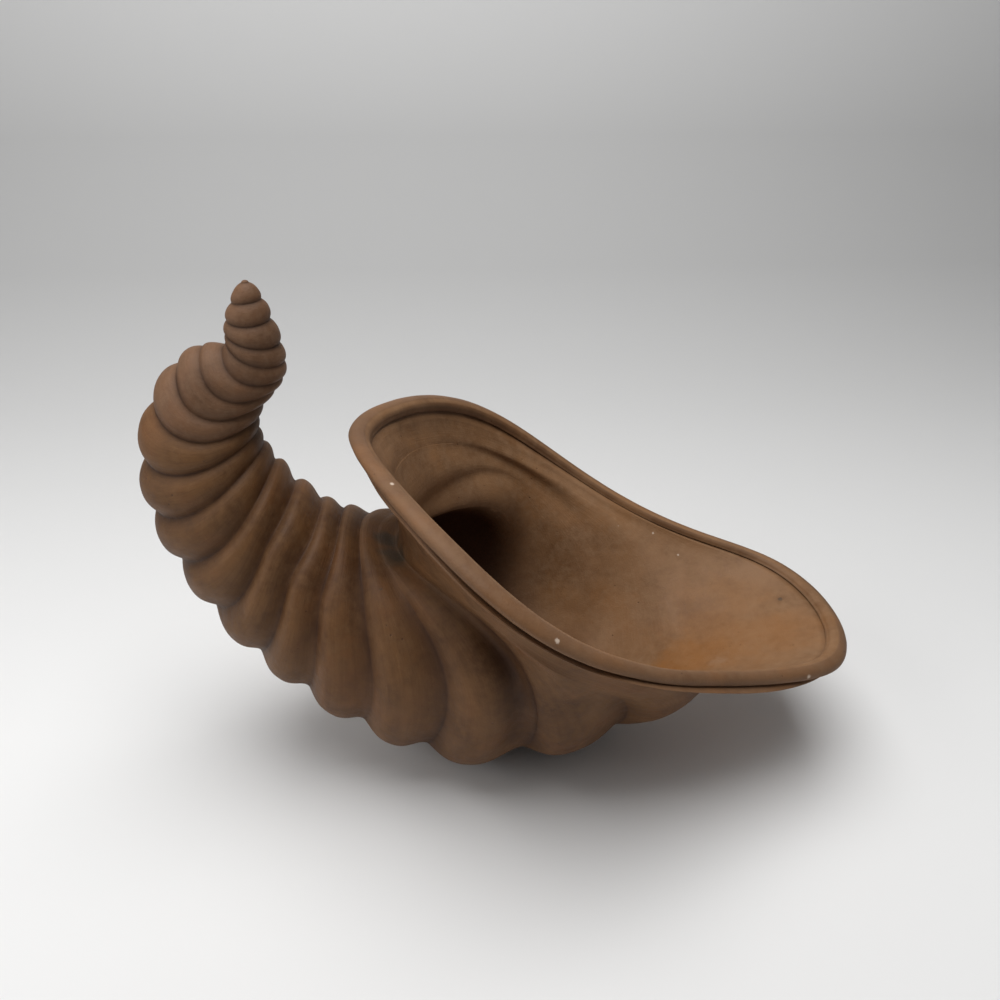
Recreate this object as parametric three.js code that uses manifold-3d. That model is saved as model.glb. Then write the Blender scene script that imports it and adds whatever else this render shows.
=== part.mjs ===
// Cornucopia vase: a coiled clay horn that lies on its belly, with an upturned tail and a wide open mouth.
// Millimetres, Z up, the lip points along +X, the horn's plane of symmetry is y = 0, the floor is z = 0,
// and the middle of the vase's length stands over the origin.
import * as THREE from 'three';
import Module from 'manifold-3d';

const wasm = await Module();
wasm.setup();

// Main sizes of the horn, measured over its creases
const HORN_LENGTH = 329.5; // from the back of the bend to the lip
const HORN_HEIGHT = 243.5; // from the floor to the tip
const MOUTH_WIDTH = 180.6;

// Joints and walls
const JOINT_GAP = 0.3; // slip joint left between neighbouring coils
const WALL_AT_TIP = 3.5; // clay left under each crease
const WALL_AT_RIM = 7;
const CAVITY_START = 3.45; // where the hollow of the horn ends, counted in creases from the tip
const CAVITY_END_STEP = 2; // how much narrower the blind end of the hollow is
const INNER_WAVE = 0.4; // share of a coil's bulge that shows on the inside

// Coil bulge
const BULGE = 0.17; // bulge height over the spacing of the two creases
const BULGE_POWER = 2.4; // higher is fuller

// On its flanks the horn runs smoothly from the last deep crease to the rim, in one long swell
const SWELL_START = 17; // the last deep crease
const SWELL_HEIGHT = 1.5;
const SWELL_SKEW = 0.4; // below 1 the swell is highest near the crease it starts from
const SWELL_FROM_COS = 0.6; // where it takes over from the coils' own bulges, by the cosine of the angle
const SWELL_FULL_COS = 0.05;

// Rim bead: a rounded edge over the end of the flare, with a collar down its outside
const BEAD_HEIGHT = 3.6;
const BEAD_OVERHANG = 3; // how far the collar stands out from the flare
const BEAD_STEPS = 6; // facets over the round of the bead
const COLLAR_DEPTH = 6.8; // how far the collar reaches back along the flare
const COLLAR_FOOT = 2; // how far its lower edge stands out from the flare
const COLLAR_STEPS = 3; // facets down the inside of the collar
const COLLAR_GAP = 0.5; // slip joint between the collar and the flare

// Stations, counted in creases from the tip
const TAIL_COILS = 8;
const BELLY_START = 13;
const FOOT_COILS = [16, 17]; // the coils the vase stands on
const FLARE_STATION = 19;
const RIM_STATION = 20;

// Facets: steps round a ring, spans over the outside and the inside of one coil
const TAIL_FACETS = { steps: 20, outside: 4, inside: 1 };
const BACK_FACETS = { steps: 28, outside: 5, inside: 2 };
const BELLY_FACETS = { steps: 40, outside: 7, inside: 3 };
const MOUTH_FACETS = { steps: 72, outside: 7, inside: 7 };

// The horn's outline, crease by crease from the tip to the rim: the outer edge (x, z), the inner edge
// (x, z), the half width and how far the sides sweep towards the mouth (less than nothing is a sag).
// The mouth's own shape needs four more, which are 0 where they are left out: egg moves the widest
// place to the inner edge, bow blunts that again near both edges, lean makes the outer half of the
// section sweep more, and dip makes both edges sweep less than the flanks.
const OUTLINE = [
  { outer: [-90.5, 243.5], inner: [-87.5, 243.5], half: 1.5, sweep: 0 },
  { outer: [-95.5, 235.5], inner: [-83.5, 236.5], half: 5.9, sweep: 0 },
  { outer: [-98.5, 228.5], inner: [-81, 228], half: 8.8, sweep: 1 },
  { outer: [-99.8, 223], inner: [-78.5, 217.5], half: 11, sweep: 1 },
  { outer: [-100, 219.5], inner: [-77.5, 209.5], half: 12.6, sweep: 2 },
  { outer: [-102, 217], inner: [-79, 202.5], half: 14.4, sweep: 5, lean: 0.2 },
  { outer: [-111, 216.5], inner: [-83, 197.5], half: 16.8, sweep: 9 },
  { outer: [-121.5, 209.5], inner: [-89, 191], half: 18.8, sweep: 9.5, lean: 0.2 },
  { outer: [-133.5, 194], inner: [-92.5, 183.5], half: 21.6, sweep: 6.5, lean: 0.2 },
  { outer: [-142, 169.5], inner: [-93.5, 176.5], half: 24.4, sweep: 4, lean: 0.4 },
  { outer: [-142.5, 144.5], inner: [-92, 169], half: 27, sweep: 4.5, lean: 0.5 },
  { outer: [-135.5, 119], inner: [-88.5, 160], half: 30, sweep: 5.5 },
  { outer: [-124.5, 93], inner: [-83, 149.5], half: 33.8, sweep: 6.5, lean: 0.5 },
  { outer: [-106, 67.5], inner: [-75, 139], half: 39.4, sweep: 4.5, lean: 0.5 },
  { outer: [-84.5, 45.5], inner: [-65.5, 131.5], half: 45.2, sweep: 4.5, lean: 0.5 },
  { outer: [-59.5, 25.5], inner: [-54.5, 126], half: 52, sweep: 10 },
  { outer: [-28, 9.5], inner: [-43.5, 122], half: 60.5, sweep: 22, egg: 0.04, lean: -0.5 },
  { outer: [14, 3.5], inner: [-34.5, 119.5], half: 71, sweep: 37, egg: 0.08, lean: -0.35, dip: -0.4 },
  { outer: [64, 11], inner: [-32.6, 129.8], half: 80.5, sweep: 40, egg: 0.4, bow: 1, lean: 0.25, dip: -0.7 },
  { outer: [117, 42], inner: [-38.5, 156.7], half: 86.5, sweep: 13, egg: 0.1, bow: 1.4, lean: 1, dip: -1.2 },
  { outer: [187, 66], inner: [-50, 174.7], half: 90.3, sweep: -14, egg: 0.44, bow: 1.34, lean: 1.2, dip: 1 }
];

// The outline laid out at the main sizes. Walls, joints and the bead keep their own sizes.
const CREASES = laidOut(OUTLINE);

// Fired clay, paler and pinker on the tail, warmer towards the mouth
const TAIL_CLAY = 0x7a5a4c;
const BELLY_CLAY = 0x745040;
const MOUTH_CLAY = 0x7d5138;
const CLAY_ROUGHNESS = 0.72;

function laidOut(outline) {
  const alongX = outline.flatMap((c) => [c.outer[0], c.inner[0]]);
  const alongZ = outline.flatMap((c) => [c.outer[1], c.inner[1]]);
  const lengthen = HORN_LENGTH / (Math.max(...alongX) - Math.min(...alongX));
  const heighten = HORN_HEIGHT / Math.max(...alongZ);
  const widen = MOUTH_WIDTH / (2 * Math.max(...outline.map((c) => c.half)));
  return outline.map((c) => ({
    ...c,
    outer: [c.outer[0] * lengthen, c.outer[1] * heighten],
    inner: [c.inner[0] * lengthen, c.inner[1] * heighten],
    half: c.half * widen,
    sweep: c.sweep * lengthen,
  }));
}

// A smooth curve through the creases, read at any place between them
function follow(read, place) {
  const last = CREASES.length - 1;
  const before = Math.min(Math.floor(place), last - 1);
  const t = place - before;
  const nearest = [before - 1, before, before + 1, before + 2];
  const p = nearest.map((i) => read(CREASES[THREE.MathUtils.clamp(i, 0, last)]));
  const slopeIn = (p[2] - p[0]) / 2;
  const slopeOut = (p[3] - p[1]) / 2;
  const t2 = t * t;
  const t3 = t2 * t;
  return (
    p[1] * (2 * t3 - 3 * t2 + 1) +
    slopeIn * (t3 - 2 * t2 + t) +
    p[2] * (3 * t2 - 2 * t3) +
    slopeOut * (t3 - t2)
  );
}

// The section of the horn at one place: its centre, its outward and forward directions and its sizes
function section(place) {
  const outer = new THREE.Vector3(follow((c) => c.outer[0], place), 0, follow((c) => c.outer[1], place));
  const inner = new THREE.Vector3(follow((c) => c.inner[0], place), 0, follow((c) => c.inner[1], place));
  const outward = outer.clone().sub(inner);
  const depth = outward.length() / 2;
  outward.normalize();
  return {
    centre: outer.add(inner).multiplyScalar(0.5),
    outward,
    forward: new THREE.Vector3(-outward.z, 0, outward.x),
    depth,
    half: follow((c) => c.half, place),
    sweep: follow((c) => c.sweep, place),
    egg: follow((c) => c.egg ?? 0, place),
    bow: follow((c) => c.bow ?? 0, place),
    lean: follow((c) => c.lean ?? 0, place),
    dip: follow((c) => c.dip ?? 0, place),
  };
}

// Thickness of the clay, growing evenly from the tip to the rim
function wall(place) {
  return THREE.MathUtils.lerp(WALL_AT_TIP, WALL_AT_RIM, place / RIM_STATION);
}

// Height of the coil's own bulge at one place and angle; nothing on a crease, most on the outer side
function coilBulge(place, angle) {
  const coil = Math.floor(place);
  if (coil >= FLARE_STATION) {
    return 0; // the flare is smooth
  }
  const here = CREASES[coil];
  const next = CREASES[coil + 1];
  const outerSpacing = Math.hypot(next.outer[0] - here.outer[0], next.outer[1] - here.outer[1]);
  const innerSpacing = Math.hypot(next.inner[0] - here.inner[0], next.inner[1] - here.inner[1]);
  const spacing = THREE.MathUtils.lerp(innerSpacing, outerSpacing, (1 + Math.cos(angle)) / 2);
  const across = Math.abs(2 * (place - coil) - 1);
  return BULGE * spacing * (1 - Math.pow(across, BULGE_POWER));
}

// The coil's own bulge along the underside, and from the last deep crease on the long swell on the flanks
function bulge(place, angle) {
  if (place < SWELL_START) {
    return coilBulge(place, angle);
  }
  const along = (place - SWELL_START) / (RIM_STATION - SWELL_START);
  const swell = SWELL_HEIGHT * Math.sin(Math.PI * Math.pow(along, SWELL_SKEW));
  const onFlank = 1 - THREE.MathUtils.smoothstep(Math.cos(angle), SWELL_FULL_COS, SWELL_FROM_COS);
  return THREE.MathUtils.lerp(coilBulge(place, angle), swell, onFlank);
}

// One point of the horn's skin. Inset moves it inwards, wave scales the bulge and shift moves it
// along the horn.
function skinPoint(place, angle, { inset = 0, wave = 1, shift = 0 } = {}) {
  const s = section(place);
  const cos = Math.cos(angle);
  const sin = Math.sin(angle);
  const grow = wave * bulge(place, angle) - inset;
  const side = (s.half + grow) * (1 - s.egg * cos * (1 - s.bow * cos * cos));
  const ahead = s.sweep * sin * sin * (1 + s.lean * cos - s.dip * cos * cos) + shift;
  const point = s.centre.clone();
  point.addScaledVector(s.outward, (s.depth + grow) * cos);
  point.addScaledVector(s.forward, ahead);
  point.y += side * sin;
  return point;
}

// One ring of points round the horn
function ring(place, steps, options) {
  return Array.from({ length: steps }, (_, i) => skinPoint(place, (2 * Math.PI * i) / steps, options));
}

// A ring round the flare, a set distance back from the rim
function ringBehindRim(back, steps, inset) {
  const rim = ring(RIM_STATION, steps);
  const crease = ring(FLARE_STATION, steps);
  return rim.map((point, i) => {
    const place = RIM_STATION - back / point.distanceTo(crease[i]);
    return skinPoint(place, (2 * Math.PI * i) / steps, { inset });
  });
}

// A closed skin over a row of rings. A row that comes back to its start makes a tube wall; else both
// ends are closed with a fan round their middle. The last strip of a tube wall splits its quads the
// other way, so that the facing ends of two coils have the same creases and can't cross.
function skin(rings, closedLoop) {
  const steps = rings[0].length;
  const positions = rings.flat();
  const faces = [];
  const spans = closedLoop ? rings.length : rings.length - 1;
  for (let r = 0; r < spans; r += 1) {
    const here = r * steps;
    const next = ((r + 1) % rings.length) * steps;
    for (let i = 0; i < steps; i += 1) {
      const j = (i + 1) % steps;
      if (next > here) {
        faces.push(here + i, here + j, next + j);
        faces.push(here + i, next + j, next + i);
      } else {
        faces.push(here + i, here + j, next + i);
        faces.push(here + j, next + j, next + i);
      }
    }
  }
  if (!closedLoop) {
    capEnd(positions, faces, rings[0], 0, false);
    capEnd(positions, faces, rings[rings.length - 1], (rings.length - 1) * steps, true);
  }
  const geometry = new THREE.BufferGeometry();
  const numbers = positions.flatMap((p) => [p.x, p.y, p.z]);
  geometry.setAttribute('position', new THREE.Float32BufferAttribute(numbers, 3));
  geometry.setIndex(faces);
  return geometry;
}

function capEnd(positions, faces, edge, start, atEnd) {
  const steps = edge.length;
  const middle = edge.reduce((sum, p) => sum.add(p), new THREE.Vector3()).divideScalar(steps);
  const centre = positions.push(middle) - 1;
  for (let i = 0; i < steps; i += 1) {
    const j = (i + 1) % steps;
    if (atEnd) {
      faces.push(centre, start + i, start + j);
    } else {
      faces.push(centre, start + j, start + i);
    }
  }
}

// Evenly spaced places from one crease to another; a part of a span counts as a whole one
function places(from, to, spans) {
  const count = Math.ceil(spans);
  return Array.from({ length: count + 1 }, (_, i) => from + ((to - from) * i) / count);
}

// Rings from one crease to the next; the first and last stand back by half the joint gap
function rows(from, to, spans, steps, inside) {
  return places(from, to, spans).map((place, i, all) => {
    const atEnd = i === all.length - 1;
    const shift = (i === 0 ? JOINT_GAP / 2 : 0) - (atEnd ? JOINT_GAP / 2 : 0);
    const inset = inside ? wall(place) : 0;
    return ring(place, steps, { inset, wave: inside ? INNER_WAVE : 1, shift });
  });
}

function clayMesh(name, geometry, color) {
  geometry.computeVertexNormals();
  const material = new THREE.MeshStandardMaterial({ color, roughness: CLAY_ROUGHNESS, metalness: 0 });
  material.name = `${name}_clay`;
  const mesh = new THREE.Mesh(geometry, material);
  mesh.name = name;
  return mesh;
}

// A solid coil of the tail
function solidCoil(coil, facets) {
  return skin(rows(coil, coil + 1, facets.outside, facets.steps, false), false);
}

// The coil in which the hollow of the horn ends: a cup with its closed end towards the tip
function cupCoil(coil, facets) {
  const outside = rows(coil, coil + 1, facets.outside, facets.steps, false);
  const inside = rows(CAVITY_START, coil + 1, facets.inside + 1, facets.steps, true);
  const endInset = wall(CAVITY_START) + CAVITY_END_STEP;
  inside[0] = ring(CAVITY_START, facets.steps, { inset: endInset, wave: INNER_WAVE });
  return skin([...outside, ...inside.reverse()], false);
}

// A hollow coil: bulging outside, softly waved inside, cut square at both creases
function hollowCoil(coil, facets) {
  const outside = rows(coil, coil + 1, facets.outside, facets.steps, false);
  const inside = rows(coil, coil + 1, facets.inside, facets.steps, true);
  return skin([...outside, ...inside.reverse()], true);
}

// Presses the underside flat on the floor
function standFlat(geometry) {
  const position = geometry.getAttribute('position');
  const mesh = new wasm.Mesh({
    numProp: 3,
    vertProperties: Float32Array.from(position.array),
    triVerts: Uint32Array.from(geometry.getIndex().array),
  });
  const cut = new wasm.Manifold(mesh).trimByPlane([0, 0, 1], 0).getMesh();
  const result = new THREE.BufferGeometry();
  result.setAttribute('position', new THREE.Float32BufferAttribute(cut.vertProperties, 3));
  result.setIndex(Array.from(cut.triVerts));
  return result;
}

// The bead that closes the rim: from the end of the flare back inside the collar, round its lower edge,
// up its outside and in half an ellipse over the end of the flare
function rimBead(steps) {
  const halfWidth = (WALL_AT_RIM + BEAD_OVERHANG) / 2;
  const overEnd = JOINT_GAP / 2;
  const rings = [ring(RIM_STATION, steps, { inset: -COLLAR_GAP, shift: overEnd })];
  for (let k = 1; k <= COLLAR_STEPS; k += 1) {
    rings.push(ringBehindRim((COLLAR_DEPTH * k) / COLLAR_STEPS, steps, -COLLAR_GAP));
  }
  rings.push(ringBehindRim(COLLAR_DEPTH, steps, -COLLAR_FOOT));
  rings.push(ringBehindRim(COLLAR_DEPTH / 2, steps, -BEAD_OVERHANG));
  for (let k = 0; k <= BEAD_STEPS; k += 1) {
    const turn = (Math.PI * k) / BEAD_STEPS;
    const inset = -BEAD_OVERHANG + halfWidth * (1 - Math.cos(turn));
    const rise = overEnd + BEAD_HEIGHT * Math.sin(turn);
    rings.push(ring(RIM_STATION, steps, { inset, shift: rise }));
  }
  return skin(rings, true);
}

// From the tip: solid coils, the cup, the hollow tail coils, the back coils and the belly coils
function coilShape(coil) {
  if (coil < Math.floor(CAVITY_START)) {
    return solidCoil(coil, TAIL_FACETS);
  }
  if (coil < CAVITY_START) {
    return cupCoil(coil, TAIL_FACETS);
  }
  if (coil < TAIL_COILS) {
    return hollowCoil(coil, TAIL_FACETS);
  }
  if (coil < BELLY_START) {
    return hollowCoil(coil, BACK_FACETS);
  }
  const shape = hollowCoil(coil, BELLY_FACETS);
  return FOOT_COILS.includes(coil) ? standFlat(shape) : shape;
}

// Coils are numbered from the tip, and named after the part of the horn they make
function coilName(coil) {
  const number = String(coil + 1).padStart(2, '0');
  if (coil < TAIL_COILS) {
    return `tail_coil_${number}`;
  }
  return coil < BELLY_START ? `back_coil_${number}` : `belly_coil_${number}`;
}

const horn = new THREE.Group();
horn.name = 'cornucopia_vase';

for (let coil = 0; coil < FLARE_STATION; coil += 1) {
  horn.add(clayMesh(coilName(coil), coilShape(coil), coil < TAIL_COILS ? TAIL_CLAY : BELLY_CLAY));
}
horn.add(clayMesh('mouth_flare', hollowCoil(FLARE_STATION, MOUTH_FACETS), MOUTH_CLAY));
horn.add(clayMesh('rim_bead', rimBead(MOUTH_FACETS.steps), MOUTH_CLAY));

// The creases are measured from the middle of the belly; the finished vase is moved along X alone
const box = new THREE.Box3().setFromObject(horn);
horn.children.forEach((mesh) => mesh.geometry.translate(-(box.min.x + box.max.x) / 2, 0, 0));

export default horn;
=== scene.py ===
"""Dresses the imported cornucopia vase: a coiled clay horn with an upturned tail and a wide slanted mouth."""

import logging
import math
from dataclasses import dataclass, field
from enum import Enum

import bmesh
import bpy
import numpy as np
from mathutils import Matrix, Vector, noise


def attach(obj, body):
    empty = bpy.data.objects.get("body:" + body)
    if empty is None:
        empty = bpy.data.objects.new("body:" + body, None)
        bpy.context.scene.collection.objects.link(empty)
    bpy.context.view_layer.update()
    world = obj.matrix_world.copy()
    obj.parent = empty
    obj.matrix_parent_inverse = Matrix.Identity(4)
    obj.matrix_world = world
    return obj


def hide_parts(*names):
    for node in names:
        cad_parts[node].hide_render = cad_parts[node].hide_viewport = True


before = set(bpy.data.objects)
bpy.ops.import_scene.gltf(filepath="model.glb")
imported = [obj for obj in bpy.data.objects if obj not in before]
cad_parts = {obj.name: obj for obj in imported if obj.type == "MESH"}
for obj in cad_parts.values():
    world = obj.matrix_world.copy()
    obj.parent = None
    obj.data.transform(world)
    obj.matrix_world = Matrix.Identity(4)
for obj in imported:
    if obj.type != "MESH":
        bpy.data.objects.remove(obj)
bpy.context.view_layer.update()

log = logging.getLogger("vase")
MM = 0.001
BODY = "root"
Node = bpy.types.Node
Socket = bpy.types.NodeSocket
Span = tuple[float, float]
Tint = tuple[float, float, float]


class Finish(Enum):
    """The fired finishes of the vase."""

    TAIL = "tail_clay"
    BELLY = "belly_clay"
    MOUTH = "mouth_clay"


@dataclass(frozen=True)
class Crease:
    """One crease of the horn, in millimetres.

    It runs from outer, under the horn, to inner, on top of it, and is twice half wide. Its flanks sweep
    forward: lean and dip shape the sweep, egg and bow the outline, and twist turns the top forward.
    """

    outer: tuple[float, float]
    inner: tuple[float, float]
    half: float
    sweep: float
    egg: float = 0.0
    bow: float = 0.0
    lean: float = 0.0
    dip: float = 0.0
    twist: float = 0.0


CREASES: tuple[Crease, ...] = (
    Crease((-90.5, 243.5), (-87.5, 243.5), 1.5, 0),
    Crease((-95.5, 235.5), (-83.5, 236.5), 5.9, 0),
    Crease((-98.5, 228.5), (-81.0, 228.0), 8.8, 1),
    Crease((-99.8, 223.0), (-78.5, 217.5), 11.0, 1),
    Crease((-100.0, 219.5), (-77.5, 209.5), 12.6, 2),
    Crease((-102.0, 217.0), (-79.0, 202.5), 14.4, 5, lean=0.2),
    Crease((-111.0, 216.5), (-83.0, 197.5), 16.8, 9),
    Crease((-121.5, 209.5), (-89.0, 191.0), 18.8, 9.5, lean=0.2),
    Crease((-133.5, 194.0), (-92.5, 183.5), 21.6, 6.5, lean=0.2),
    Crease((-142.0, 169.5), (-93.5, 176.5), 24.4, 4, lean=0.4),
    Crease((-142.5, 144.5), (-92.0, 169.0), 27.0, 4.5, lean=0.5),
    Crease((-135.5, 119.0), (-88.5, 160.0), 30.0, 5.5),
    Crease((-124.5, 93.0), (-83.0, 149.5), 33.8, 6.5, lean=0.5, twist=3.0),
    Crease((-106.0, 67.5), (-75.0, 139.0), 39.4, 4.5, lean=0.5, twist=6.0),
    Crease((-84.5, 45.5), (-65.5, 131.5), 45.2, 4.5, lean=0.5, twist=5.0),
    Crease((-59.5, 25.5), (-54.5, 126.0), 52.0, 11.5, twist=3.0),
    Crease((-28.0, 9.5), (-43.5, 122.0), 60.5, 24, egg=0.04, lean=-0.5),
    Crease((14.0, 3.5), (-34.5, 119.5), 71.0, 40, egg=0.08, lean=-0.35, dip=-0.4),
    Crease((64.0, 11.0), (-32.6, 129.8), 80.5, 38.5, egg=0.4, bow=1.0, lean=0.25, dip=-0.7),
    Crease((117.0, 42.0), (-38.5, 156.7), 86.5, 13, egg=0.1, bow=1.4, lean=1.0, dip=-1.2),
    Crease((187.0, 66.0), (-50.0, 174.7), 90.3, -14, egg=0.44, bow=1.34, lean=1.2, dip=1.0),
)


def smooth(edge0: float, edge1: float, value: np.ndarray | float) -> np.ndarray:
    """Returns values eased from 0 at the first edge to 1 at the second."""
    share = np.clip((np.asarray(value, float) - edge0) / (edge1 - edge0), 0.0, 1.0)
    return share * share * (3.0 - 2.0 * share)


@dataclass
class HornForm:
    """The shape that all the coils share: sections lofted through the creases, in millimetres.

    Places are counted in creases from the tip. A span is the two values between which something eases in or
    out: of the place, or of the cosine of the angle round the horn, which is 1 underneath. A span named top
    has the sign of the cosine turned, so that 1 is the top. The crease spans, for a darker colour that is
    partly wash and partly painted shade, are a width and its growth for each coil.
    """

    shift_x: float = -21.528
    wall_at_tip: float = 3.5
    wall_at_rim: float = 7.0
    cavity_start: float = 3.45
    flare_station: int = 19
    rim_station: int = 20
    bulge: float = 0.17
    bulge_power: float = 2.4
    inner_wave: float = 0.25
    ribs_from: Span = (8.0, 12.0)
    rib_skew: float = 0.6
    rib_skew_ends: Span = (0.6, 0.95)
    flank_fullness: float = 0.45
    neck_coils: range = range(11, 13)
    neck_fullness: float = 0.3
    neck_top: Span = (0.5, 1.0)
    last_bulge: float = 0.45
    crown_start: int = 15
    crown_length: int = 2
    crown_height: float = 1.2
    crown_skew: float = 0.7
    crown_share: float = 0.7
    crown_top: Span = (0.35, 0.95)
    merged_top: Span = (0.7, 0.98)
    twist_top: Span = (0.45, 1.0)
    ring_height: float = 1.0
    ring_spacing: float = 1.1
    ring_place: float = 17.6
    ring_lean: float = 0.53
    rings_start: Span = (15.6, 17.0)
    rings_end: Span = (18.9, 19.6)
    rings_below: Span = (0.0, 0.6)
    trough_place: float = 16.79
    trough_width: float = 0.19
    trough_depth: float = 5.5
    trough_starts: Span = (-0.8, -0.35)
    trough_ends: Span = (0.3, 0.75)
    swell_start: int = 17
    swell_height: float = 1.5
    swell_skew: float = 0.4
    swell_ends: Span = (0.05, 0.6)
    fold_starts: Span = (17.9, 18.5)
    fold_ends: Span = (19.5, 19.97)
    fold_from: Span = (-0.93, -0.75)
    fold_until: Span = (0.2, 0.5)
    fold_reach: float = 0.9
    fold_spread: float = 0.42
    fold_samples: int = 15
    tail_valley: float = 0.02
    belly_valley: float = 0.1
    # darker crease colour, partly wash and partly painted shade, widest on the flank in shade before each
    # crease
    wash_and_shade_after: Span = (0.6, 0.05)
    wash_and_shade_before: Span = (0.8, 0.2)
    wash_and_shade_fade: float = 4.0
    recess_depth: float = 1.5
    lump_height: float = 0.5
    lump_size: float = 30.0
    ripple_height: float = 0.16
    ripple_size: float = 9.0
    calm_places: float = 6.0
    foot_softness: float = 0.6

    def follow(self, column: list[float], place: np.ndarray) -> np.ndarray:
        """Reads a smooth curve through one column of the creases.

        Args:
            column: The column's value at each crease.
            place: Places along the horn, counted in creases from the tip.

        Returns:
            The value at each place.
        """
        values = np.asarray(column, float)
        last = len(values) - 1
        before = np.minimum(np.floor(place), last - 1).astype(int)
        t = place - before
        p = [values[np.clip(before + k, 0, last)] for k in (-1, 0, 1, 2)]
        slope_in = (p[2] - p[0]) / 2
        slope_out = (p[3] - p[1]) / 2
        return (
            p[1] * (2 * t**3 - 3 * t**2 + 1)
            + slope_in * (t**3 - 2 * t**2 + t)
            + p[2] * (3 * t**2 - 2 * t**3)
            + slope_out * (t**3 - t**2)
        )

    def read(self, name: str, place: np.ndarray) -> np.ndarray:
        """Returns one measure of the creases at each place."""
        return self.follow([getattr(crease, name) for crease in CREASES], place)

    def read_end(self, name: str, place: np.ndarray) -> np.ndarray:
        """Returns one end of the creases at each place, one row for each."""
        ends = [getattr(crease, name) for crease in CREASES]
        return np.stack([self.follow([end[axis] for end in ends], place) for axis in (0, 1)], axis=1)

    def wall(self, place: np.ndarray, angle: np.ndarray) -> np.ndarray:
        """Returns the thickness of the clay, with the soft rings round the throat."""
        plain = self.wall_at_tip + (self.wall_at_rim - self.wall_at_tip) * place / self.rim_station
        cos = np.cos(angle)
        phase = (place - self.ring_place + self.ring_lean * cos) / self.ring_spacing
        fade = smooth(*self.rings_start, place) * (1 - smooth(*self.rings_end, place))
        fade = fade * (1 - smooth(*self.rings_below, cos))
        return plain + self.ring_height * np.sin(2 * math.pi * phase) * fade

    def spacing(self, coil: int, angle: np.ndarray) -> np.ndarray:
        """Returns how far apart the two creases of a coil are at each angle round the horn."""
        here, after = CREASES[coil], CREASES[coil + 1]
        outer = math.dist(here.outer, after.outer)
        inner = math.dist(here.inner, after.inner)
        return inner + (outer - inner) * (1 + np.cos(angle)) / 2

    def coil_round(self, coil: int, place: np.ndarray, angle: np.ndarray) -> np.ndarray:
        """Gives how far a coil bulges over the line between its creases.

        Args:
            coil: Index of the coil, counted from the tip.
            place: Places along the horn, within the coil.
            angle: Angles round the horn.

        Returns:
            The bulge in millimetres, fullest near the tip side of the coil on the larger ribs.
        """
        if coil >= self.flare_station:
            return np.zeros_like(angle)
        cos = np.cos(angle)
        grown = float(smooth(*self.ribs_from, coil))
        share = place - coil
        skew = self.rib_skew * grown * (1 - smooth(*self.rib_skew_ends, cos))
        share = share + skew * share * (1 - share)
        valley = self.tail_valley + (self.belly_valley - self.tail_valley) * coil / self.flare_station
        to_crease = np.minimum(share, 1 - share)
        rounded = np.sqrt(to_crease**2 + valley**2) - valley
        rounded = rounded / (math.sqrt(0.25 + valley**2) - valley)
        across = np.clip(1 - rounded, 0, 1)
        height = self.bulge * self.spacing(coil, angle)
        height = height * (1 + self.flank_fullness * grown * np.sin(angle) ** 2)
        if coil == self.flare_station - 1:
            height = height * self.last_bulge
        if coil in self.neck_coils:
            height = height * (1 + self.neck_fullness * smooth(*self.neck_top, -cos))
        if coil >= self.crown_start:
            height = height * (1 - self.crown_share * smooth(*self.merged_top, -cos))
        return height * (1 - across**self.bulge_power)

    def crown_round(self, place: np.ndarray, angle: np.ndarray) -> np.ndarray:
        """Returns the one long round that the belly ribs merge into on top of the neck."""
        share = np.clip((place - self.crown_start) / self.crown_length, 0, 1)
        share = share + self.crown_skew * share * (1 - share)
        over = 1 - np.abs(2 * share - 1) ** self.bulge_power
        return self.crown_height * over * smooth(*self.crown_top, -np.cos(angle))

    def trough(self, place: np.ndarray, angle: np.ndarray) -> np.ndarray:
        """Returns how strongly the deep hollow before the last belly rib shows, from 0 to 1."""
        cos = np.cos(angle)
        round_horn = smooth(*self.trough_starts, cos) * (1 - smooth(*self.trough_ends, cos))
        return round_horn * np.exp(-(((place - self.trough_place) / self.trough_width) ** 2))

    def bulge_height(self, coil: int, place: np.ndarray, angle: np.ndarray) -> np.ndarray:
        """Returns a coil's height over the loft, which on the mouth's flanks is one long swell."""
        own = self.coil_round(coil, place, angle)
        own = own + self.crown_round(place, angle) - self.trough_depth * self.trough(place, angle)
        if coil < self.swell_start:
            return own
        along = (place - self.swell_start) / (self.rim_station - self.swell_start)
        swell = self.swell_height * np.sin(math.pi * np.clip(along, 0, 1) ** self.swell_skew)
        swell = swell - self.trough_depth * self.trough(place, angle)
        on_flank = 1 - smooth(*self.swell_ends, np.cos(angle))
        return own + (swell - own) * on_flank

    def crease_wash_and_shade(self, coil: int, place: np.ndarray, angle: np.ndarray) -> np.ndarray:
        """Gives how deep in a crease a point lies, for the crease's darker colour, partly wash and partly
        painted shade; wider on the side towards the tip, where the flank is in shade.

        Args:
            coil: Index of the coil, counted from the tip.
            place: Places along the horn, within the coil.
            angle: Angles round the horn.

        Returns:
            1 in the bottom of a crease and nearly 0 on the round of the coil.
        """
        share = place - coil
        spacing = self.spacing(coil, angle)
        after_width, before_width = (
            least + growth * coil for least, growth in (self.wash_and_shade_after, self.wash_and_shade_before)
        )
        depth = np.exp(-share * spacing / after_width)
        if coil < self.flare_station:
            depth = np.maximum(depth, np.exp(-(1 - share) * spacing / before_width))
        if coil >= self.crown_start:
            depth = depth * (1 - self.crown_share * smooth(*self.merged_top, -np.cos(angle)))
        if coil >= self.swell_start:
            on_flank = 1 - smooth(*self.swell_ends, np.cos(angle))
            depth = depth * (1 - on_flank * (1 - np.exp(-(place - self.swell_start) * self.wash_and_shade_fade)))
        # the hollow before the last belly rib is painted dark as well, as shade
        return np.maximum(depth, self.trough(place, angle))

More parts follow.
